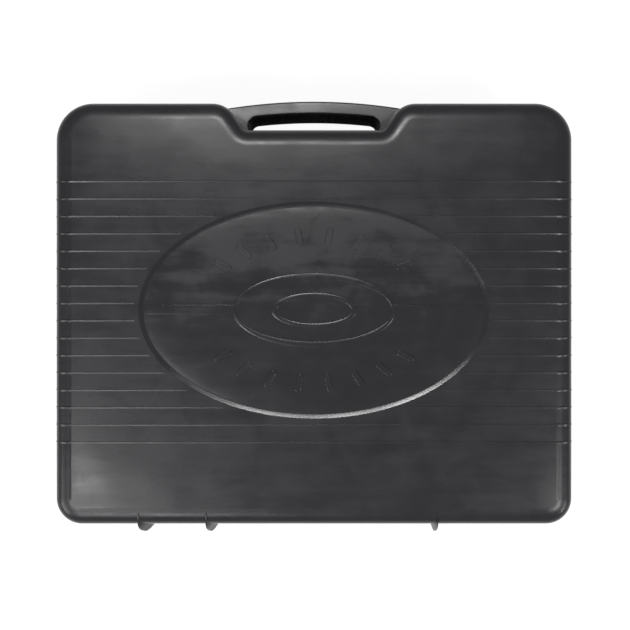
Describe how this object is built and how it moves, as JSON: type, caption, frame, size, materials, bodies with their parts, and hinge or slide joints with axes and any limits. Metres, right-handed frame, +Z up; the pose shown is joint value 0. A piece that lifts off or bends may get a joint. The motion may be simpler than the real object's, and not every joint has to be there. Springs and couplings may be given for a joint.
{
  "type": "portable gas stove in carry case",
  "caption": "Flat black moulded carry case with a recessed oval face, ribs and a built-in handle, holding a portable butane cassette stove.",
  "frame": {"origin": "centre of the bounding box on the ground under the closed case, which lies on its back", "axes": "+Z up out of the lid face, +Y towards the handle, +X along the width to the right of the face"},
  "size_m": [0.3676, 0.308, 0.1108],
  "materials": {
    "case_plastic": "satin moulded black polypropylene, finely mottled",
    "latch_plastic": "satin black nylon",
    "pin_steel": "plain drawn steel",
    "foot_rubber": "matt black rubber",
    "zinc_steel": "zinc-plated sheet steel",
    "enamel": "dark baked enamel on sheet steel",
    "pan_steel": "bright stainless sheet",
    "black_enamel": "heat-proof black vitreous enamel",
    "cast_aluminium": "die-cast, as cast",
    "brass": "turned brass",
    "tube_aluminium": "drawn tube",
    "knob_plastic": "satin black heat-proof plastic",
    "igniter_plastic": "dull red plastic",
    "ceramic": "glazed white ceramic"
  },
  "bodies": {
    "base": {"base_shell": "case_plastic", "hinge_pins": "pin_steel", "latch_pins": "pin_steel", "stove_feet": "foot_rubber", "bottom_plate": "zinc_steel", "stove_housing": "enamel", "partition_plate": "zinc_steel", "cartridge_cradle": "zinc_steel", "cartridge_cover": "enamel", "cover_hinge_pins": "pin_steel", "drip_pan": "pan_steel", "pan_support": "black_enamel", "burner_bracket": "zinc_steel", "burner_base": "cast_aluminium", "burner_cap": "brass", "mixing_tube": "tube_aluminium", "gas_regulator": "cast_aluminium", "piezo_igniter": "igniter_plastic", "ignition_electrode": "ceramic", "lock_slide": "zinc_steel", "burner_screws": "pin_steel"},
    "lid": {"lid_shell": "case_plastic"},
    "left_latch": {"left_latch": "latch_plastic"},
    "right_latch": {"right_latch": "latch_plastic"},
    "knob": {"control_knob": "knob_plastic", "valve_spindle": "brass"},
    "lever": {"lock_lever": "knob_plastic"}
  },
  "joints": [
    {"name": "lid_hinge", "type": "hinge", "parent": "base", "child": "lid", "pos_m": [0, -0.1505, 0.055], "axis": [1, 0, 0], "range_deg": [0, 165]},
    {"name": "left_latch_swing", "type": "hinge", "parent": "base", "child": "left_latch", "pos_m": [-0.11, 0.146, 0.039], "axis": [-1, 0, 0], "range_deg": [-8, 100]},
    {"name": "right_latch_swing", "type": "hinge", "parent": "base", "child": "right_latch", "pos_m": [0.11, 0.146, 0.039], "axis": [-1, 0, 0], "range_deg": [-8, 100]},
    {"name": "knob_turn", "type": "hinge", "parent": "base", "child": "knob", "pos_m": [-0.1204, 0.1216, 0.0451], "axis": [0, 1, 0], "range_deg": [0, 95]},
    {"name": "lock_slide_travel", "type": "slide", "parent": "base", "child": "lever", "axis": [0, 0, -1], "range_m": [0, 0.012]}
  ]
}
